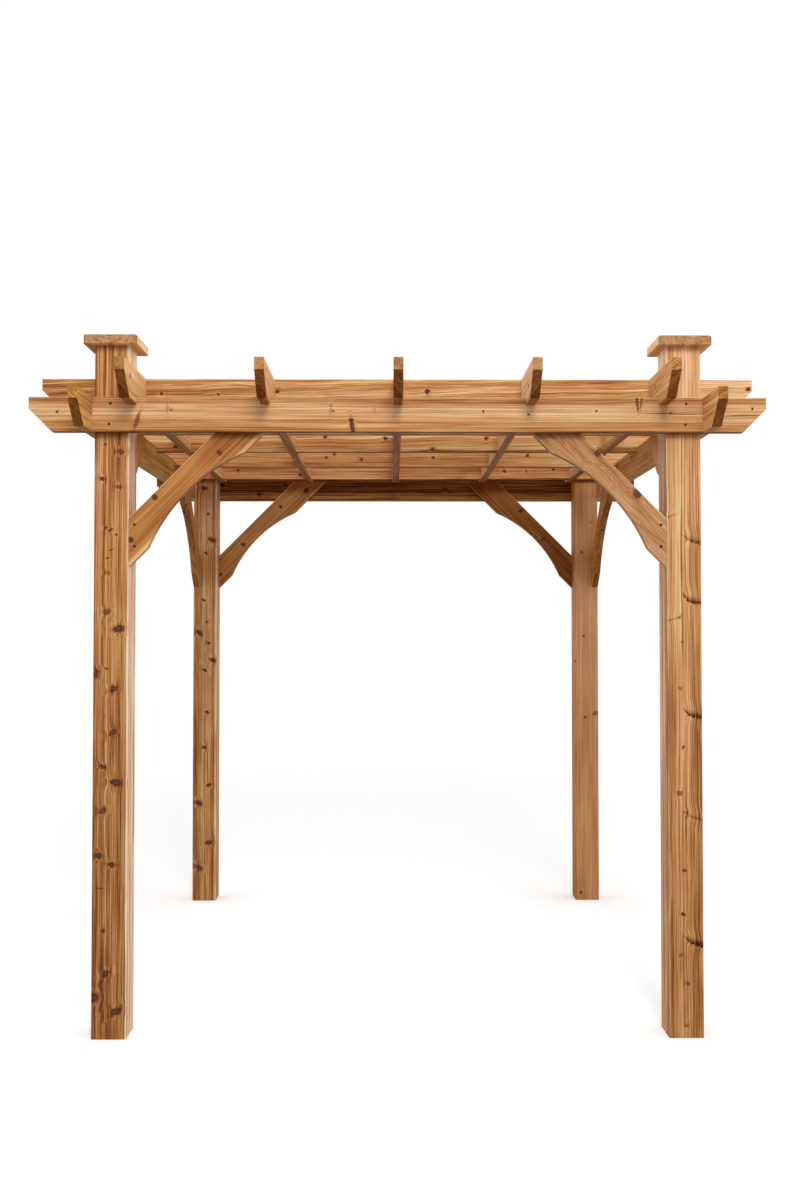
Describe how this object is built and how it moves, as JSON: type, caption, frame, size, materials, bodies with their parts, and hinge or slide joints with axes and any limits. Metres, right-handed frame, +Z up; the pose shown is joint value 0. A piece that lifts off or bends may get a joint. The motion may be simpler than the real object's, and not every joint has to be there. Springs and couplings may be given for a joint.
{
  "type": "wooden pergola",
  "caption": "Free-standing square wooden pergola: flat-capped posts, lapped beams with bevelled tails, an egg-crate lattice of rafters and cross boards, and scooped knee braces.",
  "frame": {"origin": "on the ground, at the centre of the plan", "axes": "+Z up, +X to the right-hand side as seen from the front, +Y from front to rear"},
  "size_m": [2.9592, 2.9592, 2.8194],
  "materials": {
    "posts": "planed, bare cedar",
    "post_caps": "planed, bare cedar",
    "beams": "planed, bare cedar",
    "lattice": "planed, bare cedar",
    "braces": "planed, bare cedar"
  },
  "bodies": {
    "root": {"beam_front": "beams", "beam_left": "beams", "beam_rear": "beams", "beam_right": "beams", "brace_front_left": "braces", "brace_front_right": "braces", "brace_left_front": "braces", "brace_left_rear": "braces", "brace_rear_left": "braces", "brace_rear_right": "braces", "brace_right_front": "braces", "brace_right_rear": "braces", "cross_board_1": "lattice", "cross_board_2": "lattice", "cross_board_3": "lattice", "cross_board_4": "lattice", "cross_board_5": "lattice", "post_cap_front_left": "post_caps", "post_cap_front_right": "post_caps", "post_cap_rear_left": "post_caps", "post_cap_rear_right": "post_caps", "post_front_left": "posts", "post_front_right": "posts", "post_rear_left": "posts", "post_rear_right": "posts", "rafter_1": "lattice", "rafter_2": "lattice", "rafter_3": "lattice", "rafter_4": "lattice", "rafter_5": "lattice"}
  },
  "joints": []
}
